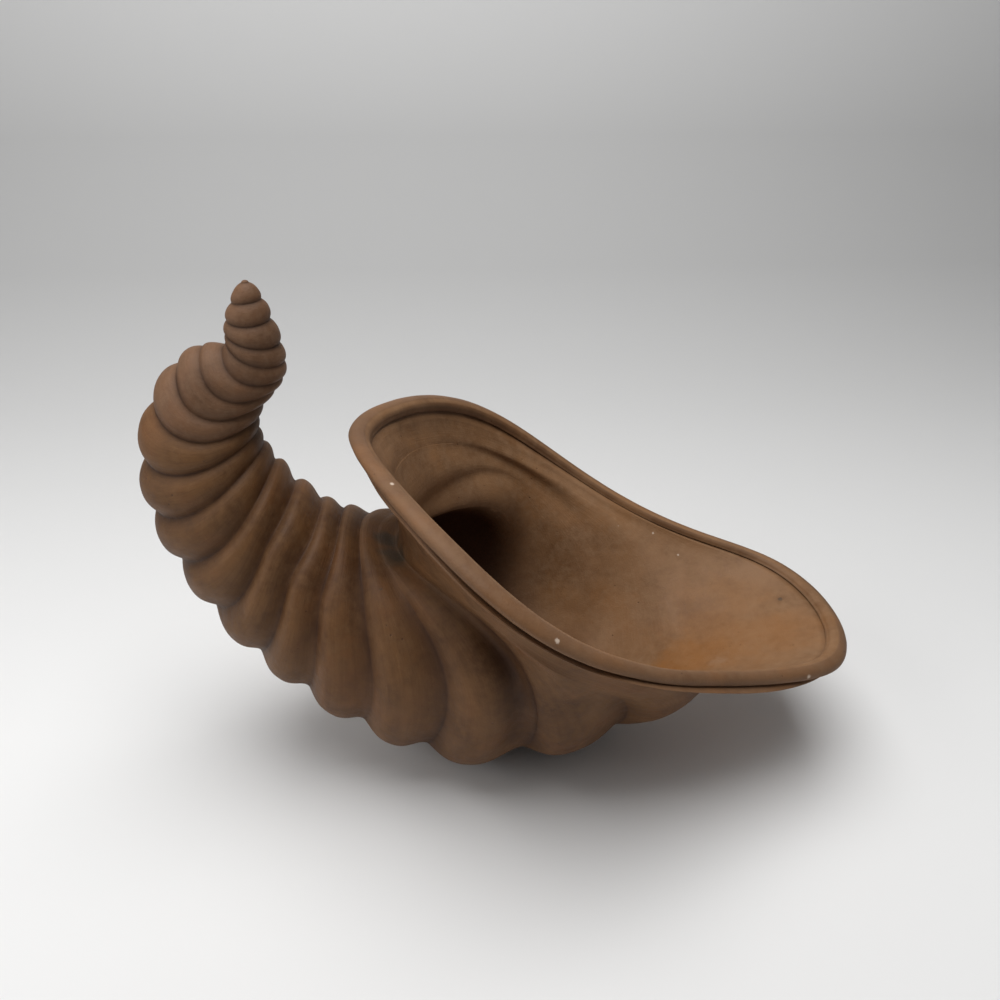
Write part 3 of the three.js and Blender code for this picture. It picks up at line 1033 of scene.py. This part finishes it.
@dataclass(frozen=True)
class ClayFinish:
    """Unglazed clay with a brown wash: the colours outside and inside, its wear and its marks, and shade
    painted into the creases, under the bead and down the throat.
    """

    name: str
    outside: Palette
    inside: Palette = INSIDE
    streak_share: float = 0.3
    # share of the crease and bead darkening, partly wash and partly painted shade
    groove_share: float = 0.95
    # near-black painted shade down the throat
    throat: Tint = (0.022, 0.006, 0.002)
    mottle_scale: float = 21.0
    throat_shade_share: float = 0.95
    throat_shade_span: Span = (16.5, 17.8)
    fleck_share: float = 0.2
    pit_share: float = 0.6
    roughness: float = 0.5
    dust_roughness: float = 0.16
    grain_roughness: float = 0.12
    bump_strength: float = 0.5
    bump_distance: float = 0.0006
    specular: float = 0.25
    spots: tuple[Spot, ...] = ()

    def build(self, effects: Effects) -> bpy.types.Material:
        """Builds the material.

        Args:
            effects: The shared effects.

        Returns:
            The material.
        """
        material = bpy.data.materials.new(self.name)
        material.use_nodes = True
        sheet = Sheet(material.node_tree)
        shader = material.node_tree.nodes["Principled BSDF"]
        spot = sheet.add("ShaderNodeTexCoord").outputs["Object"]
        rib = sheet.add("ShaderNodeAttribute", attribute_name="rib").outputs["Vector"]
        valley = sheet.add("ShaderNodeAttribute", attribute_name="valley").outputs["Fac"]
        inner = sheet.add("ShaderNodeAttribute", attribute_name="inner").outputs["Fac"]
        mottle = effects.use(sheet, "mottle", Vector=spot, Scale=self.mottle_scale)
        grain = effects.use(sheet, "grain", Vector=spot)
        streaks = effects.use(sheet, "streaks", Rib=rib)
        # the valley attribute carries wash and painted shade in the creases and painted shade under the bead
        groove = effects.use(sheet, "groove", Valley=valley, Vector=spot)
        outside = self._washed(sheet, self.outside, mottle)
        streak = sheet.times(streaks.outputs["Streak"], self.streak_share)
        outside = sheet.mix(streak, outside, shade(*self.outside.dark))
        colour = sheet.mix(inner, outside, self._washed(sheet, self.inside, mottle))
        colour = self._worn_and_crease_shaded(sheet, colour, groove, grain)
        colour = self._throat_shaded(sheet, colour, rib, inner)
        colour = self._marked(sheet, effects, spot, colour)
        sheet.join(colour, shader.inputs["Base Color"])
        rough = sheet.times(mottle.outputs["Dust"], self.dust_roughness)
        rough = sheet.plus(rough, sheet.times(grain.outputs["Height"], self.grain_roughness))
        sheet.join(sheet.plus(rough, self.roughness), shader.inputs["Roughness"])
        height = sheet.times(streaks.outputs["Height"], sheet.minus(0.5, inner))
        height = sheet.plus(height, grain.outputs["Height"])
        bump = sheet.add("ShaderNodeBump")
        bump.inputs["Strength"].default_value = self.bump_strength
        bump.inputs["Distance"].default_value = self.bump_distance
        sheet.join(height, bump.inputs["Height"])
        sheet.join(bump.outputs["Normal"], shader.inputs["Normal"])
        shader.inputs["Specular IOR Level"].default_value = self.specular
        return material

    def _washed(self, sheet: Sheet, palette: Palette, mottle: Node) -> Socket:
        """Lays the clouds of wash over one side of the clay."""
        colour = shade(*palette.base)
        for title, amount, over in (
            ("Warmth", palette.warm_share, palette.warm),
            ("Stain", palette.stain_share, palette.dark),
            ("Dust", palette.dust_share, palette.dust),
        ):
            colour = sheet.mix(sheet.times(mottle.outputs[title], amount), colour, shade(*over))
        return colour

    def _worn_and_crease_shaded(
        self, sheet: Sheet, colour: Socket, groove: Node, grain: Node
    ) -> Socket:
        """Adds the dark creases, partly wash and partly painted shade, the pinholes and the pale grains."""
        for value, amount, over in (
            (grain.outputs["Flecks"], self.fleck_share, self.outside.dust),
            (groove.outputs["Shade"], self.groove_share, self.outside.dark),
            (grain.outputs["Pits"], self.pit_share, self.outside.dark),
        ):
            colour = sheet.mix(sheet.times(value, amount), colour, shade(*over))
        return colour

    def _throat_shaded(
        self, sheet: Sheet, colour: Socket, rib: Socket, inner: Socket
    ) -> Socket:
        """Paints shade down the throat, nearly black on the inner skin deep inside the horn."""
        place = sheet.add("ShaderNodeSeparateXYZ")
        sheet.join(rib, place.inputs[0])
        # painted shade on the inner skin, full deep in the throat and gone past its span
        deep = sheet.minus(1.0, sheet.ramp(place.outputs["Z"], *self.throat_shade_span))
        throat = sheet.times(sheet.times(inner, deep), self.throat_shade_share)
        return sheet.mix(throat, colour, shade(*self.throat))

    def _marked(
        self, sheet: Sheet, effects: Effects, spot: Socket, colour: Socket
    ) -> Socket:
        """Adds the finish's own stains and chips."""
        for mark in self.spots:
            centre = tuple(value * MM for value in mark.place)
            node = effects.use(
                sheet, "spot", Vector=spot, Centre=centre, Radius=mark.radius * MM, Ragged=mark.ragged
            )
            masked = sheet.times(node.outputs["Mask"], mark.strength)
            colour = sheet.mix(masked, colour, shade(*mark.colour))
        return colour


TAIL_FINISH = ClayFinish(
    name="tail_clay_fired",
    outside=Palette(
        base=(0.175, 0.088, 0.044),
        dark=(0.045, 0.019, 0.008),
        warm=(0.2, 0.09, 0.04),
        dust=(0.26, 0.16, 0.098),
    ),
    streak_share=0.15,
    mottle_scale=32.0,
)

BELLY_FINISH = ClayFinish(
    name="belly_clay_fired",
    outside=Palette(
        base=(0.162, 0.076, 0.028),
        dark=(0.042, 0.015, 0.005),
        warm=(0.185, 0.075, 0.024),
        dust=(0.205, 0.108, 0.048),
        stain_share=0.65,
        warm_share=0.6,
        dust_share=0.45,
    ),
    streak_share=0.2,
    spots=INSIDE_SPOTS
    + (
        # two broad dark patches on top of the neck, then two small dark specks
        Spot((-61.0, -4.0, 121.0), 9.0, NEAR_BLACK, 0.7),
        Spot((-57.0, -16.0, 117.0), 10.0, NEAR_BLACK, 0.7),
        Spot((-61.6, -36.1, 114.8), 1.2, NEAR_BLACK, 0.9),
        Spot((-86.6, -49.3, 68.2), 1.0, NEAR_BLACK, 0.8),
    ),
)

MOUTH_FINISH = ClayFinish(
    name="mouth_clay_fired",
    outside=Palette(
        base=(0.19, 0.098, 0.048),
        dark=(0.06, 0.023, 0.008),
        warm=(0.235, 0.105, 0.038),
        dust=(0.26, 0.155, 0.085),
        stain_share=0.32,
    ),
    streak_share=0.12,
    spots=INSIDE_SPOTS
    + (
        Spot((-52.6, -45.2, 172.9), 1.2, CHIP, 0.95),
        Spot((9.9, -97.9, 132.1), 1.4, CHIP, 0.9),
        Spot((33.5, -96.3, 110.3), 1.4, CHIP, 0.8),
        Spot((39.7, -95.7, 107.6), 1.2, CHIP, 0.95),
        Spot((132.8, -57.0, 73.8), 1.5, CHIP, 0.95),
    ),
)


@dataclass(frozen=True)
class PaperFinish:
    """The pale paper of the floor and the backdrop, with light and shade painted into its tones: darker
    towards the back of the floor and round the curve of the sweep, lighter up the wall.
    """

    # painted light and shade: the paper's tone at each distance along the sweep
    tones: tuple[tuple[float, float], ...] = (
        (0.0, 0.82),
        (0.3, 0.68),
        (0.75, 0.53),
        (1.0, 0.56),
        (1.5, 0.95),
    )
    reach: float = 2.0
    warmth: Tint = (1.0, 0.997, 0.99)
    roughness: float = 0.85
    specular: float = 0.2

    def build(self) -> bpy.types.Material:
        """Returns the material."""
        material = bpy.data.materials.new("studio_paper")
        material.use_nodes = True
        sheet = Sheet(material.node_tree)
        shader = material.node_tree.nodes["Principled BSDF"]
        run = sheet.add("ShaderNodeAttribute", attribute_name="run").outputs["Fac"]
        # tones darkened and lightened along the sweep as painted shade and light
        ramp = sheet.add("ShaderNodeValToRGB")
        sheet.join(sheet.math("DIVIDE", run, self.reach), ramp.inputs["Fac"])
        stops = ramp.color_ramp.elements
        while len(stops) < len(self.tones):
            stops.new(0.5)
        for stop, (distance, tone) in zip(stops, self.tones):
            stop.position = distance / self.reach
            stop.color = shade(*(tone * part for part in self.warmth))
        sheet.join(ramp.outputs["Color"], shader.inputs["Base Color"])
        shader.inputs["Roughness"].default_value = self.roughness
        shader.inputs["Specular IOR Level"].default_value = self.specular
        return material


@dataclass(frozen=True)
class Lamp:
    """A square soft lamp, in metres and watts."""

    name: str
    place: tuple[float, float, float]
    size: float
    power: float


@dataclass
class Studio:
    """The paper sweep, the lamps and the camera, in metres and degrees."""

    paper: PaperFinish = PaperFinish()
    floor_front: float = -3.0
    floor_back: float = 0.42
    curve_radius: float = 0.8
    curve_steps: int = 24
    wall_height: float = 2.5
    width: float = 7.0
    ambient: float = 0.12
    ambient_tint: Tint = (0.97, 0.98, 1.0)
    lamps: tuple[Lamp, ...] = (
        Lamp("key_softbox", (-0.08, 0.0, 1.25), 1.05, 15.5),
        Lamp("side_softbox", (-1.2, -0.35, 0.75), 0.9, 5.5),
    )
    lit_place: tuple[float, float, float] = (0.0, 0.0, 0.08)
    camera_place: tuple[float, float, float] = (-0.024882, -0.35066, 0.33374)
    camera_pitch: float = 61.0
    camera_yaw: float = -3.0
    lens: float = 30.6
    sensor: float = 36.0
    nearest: float = 0.01

    def build(self) -> None:
        """Builds the sweep, the lamps and the camera."""
        self._sweep()
        world = bpy.data.worlds.new("studio_world")
        world.use_nodes = True
        background = world.node_tree.nodes["Background"]
        background.inputs["Color"].default_value = shade(*self.ambient_tint)
        background.inputs["Strength"].default_value = self.ambient
        bpy.context.scene.world = world
        for lamp in self.lamps:
            self._hang(lamp)
        bpy.ops.object.camera_add(
            location=self.camera_place,
            rotation=(math.radians(self.camera_pitch), 0.0, math.radians(self.camera_yaw)),
        )
        camera = bpy.context.active_object
        camera.name = "studio_camera"
        camera.data.lens = self.lens
        camera.data.sensor_width = self.sensor
        camera.data.clip_start = self.nearest
        bpy.context.scene.camera = camera
        bpy.context.scene.view_settings.view_transform = "Standard"

    def _sweep(self) -> None:
        """Builds the floor and extrudes its back edge up into the backdrop."""
        bpy.ops.object.select_all(action="DESELECT")
        middle = (self.floor_front + self.floor_back) / 2
        bpy.ops.mesh.primitive_plane_add(size=1.0, location=(0, 0, 0))
        sweep = bpy.context.active_object
        sweep.name = sweep.data.name = "studio_sweep"
        bpy.ops.object.mode_set(mode="EDIT")
        bpy.ops.mesh.select_all(action="SELECT")
        bpy.ops.transform.resize(value=(self.width, self.floor_back - self.floor_front, 1.0))
        bpy.ops.transform.translate(value=(0.0, middle, 0.0))
        bpy.ops.mesh.select_mode(type="EDGE")
        bpy.ops.mesh.select_all(action="DESELECT")
        mesh = bmesh.from_edit_mesh(sweep.data)
        for edge in mesh.edges:
            edge.select = all(corner.co.y > self.floor_back - 1e-4 for corner in edge.verts)
        bmesh.update_edit_mesh(sweep.data)
        y, z = self.floor_back, 0.0
        for i in range(1, self.curve_steps + 1):
            turn = math.pi / 2 * i / self.curve_steps
            next_y = self.floor_back + self.curve_radius * math.sin(turn)
            next_z = self.curve_radius * (1 - math.cos(turn))
            self._grow(next_y - y, next_z - z)
            y, z = next_y, next_z
        self._grow(0.0, self.wall_height)
        mesh = bmesh.from_edit_mesh(sweep.data)
        run = mesh.verts.layers.float.new("run")
        for corner in mesh.verts:
            corner[run] = self._run(corner.co.y, corner.co.z)
        bmesh.update_edit_mesh(sweep.data)
        bpy.ops.object.mode_set(mode="OBJECT")
        bpy.ops.object.shade_smooth()
        sweep.data.materials.append(self.paper.build())
        log.info("sweep: %d faces", len(sweep.data.polygons))

    def _grow(self, y: float, z: float) -> None:
        """Extrudes the selected edge by one step."""
        bpy.ops.mesh.extrude_edges_move(TRANSFORM_OT_translate={"value": (0.0, y, z)})

    def _run(self, y: float, z: float) -> float:
        """Returns how far a point lies along the sweep, from the middle of the floor."""
        if y <= self.floor_back:
            return y
        turn = math.atan2(y - self.floor_back, self.curve_radius - min(z, self.curve_radius - 1e-6))
        return self.floor_back + self.curve_radius * turn + max(0.0, z - self.curve_radius)

    def _hang(self, lamp: Lamp) -> None:
        """Adds one lamp and turns it to the vase."""
        bpy.ops.object.light_add(type="AREA", location=lamp.place)
        light = bpy.context.active_object
        light.name = lamp.name
        light.data.size = lamp.size
        light.data.energy = lamp.power
        aim = Vector(self.lit_place) - Vector(lamp.place)
        light.rotation_euler = aim.to_track_quat("-Z", "Y").to_euler()


def main() -> None:
    """Builds the vase piece by piece and the studio round it."""
    logging.basicConfig(level=logging.INFO, format="%(name)s: %(message)s")
    form = HornForm()
    effects = Effects()
    clay = {
        Finish.TAIL: TAIL_FINISH.build(effects),
        Finish.BELLY: BELLY_FINISH.build(effects),
        Finish.MOUTH: MOUTH_FINISH.build(effects),
    }
    groups = [
        CoilGroup("tail_coil", 0, 7, Finish.TAIL, form, steps=112, outside_rows=22),
        CoilGroup("back_coil", 8, 12, Finish.BELLY, form, steps=144),
        CoilGroup("belly_coil", 13, 18, Finish.BELLY, form, steps=224, outside_rows=34, inside_rows=18),
    ]
    for group in groups:
        group.build()
        group.dress(clay[group.finish])
    mouth = Mouth(form)
    mouth.build()
    mouth.dress(clay[Finish.MOUTH])
    Studio().build()


if __name__ == "__main__":
    main()
